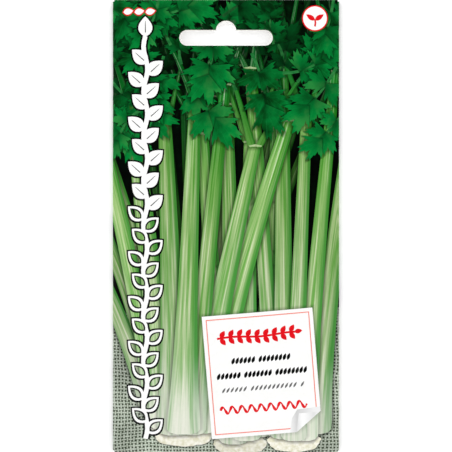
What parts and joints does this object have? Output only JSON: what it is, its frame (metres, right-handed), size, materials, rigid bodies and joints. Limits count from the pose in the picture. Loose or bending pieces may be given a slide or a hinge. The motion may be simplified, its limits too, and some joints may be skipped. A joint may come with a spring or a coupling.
{
  "type": "seed packet",
  "caption": "Flat paper seed packet: folded and glued envelope with a hanging slot, holding a sealed sachet of seeds.",
  "frame": {"origin": "centre of the packet's outline at the height of the surface that it lies on", "axes": "+Y towards the top edge with the hanging slot, +Z out of the printed front, +X to the right of someone reading the front"},
  "size_m": [0.08, 0.16, 0.0042],
  "materials": {
    "printed_paper": "semi-gloss coated paper, printed in full colour on the outside, white inside",
    "dried_glue": "thin dried dispersion glue, translucent cream",
    "metallised_film": "silver heat-seal film, satin with crimped seals",
    "celery_seed": "matt, ribbed, grey-brown seeds"
  },
  "bodies": {
    "root": {"paper_envelope": "printed_paper", "back_seam_glue": "dried_glue", "bottom_flap_glue": "dried_glue", "top_flap_glue": "dried_glue", "inner_sachet": "metallised_film", "seed_fill": "celery_seed"}
  },
  "joints": []
}
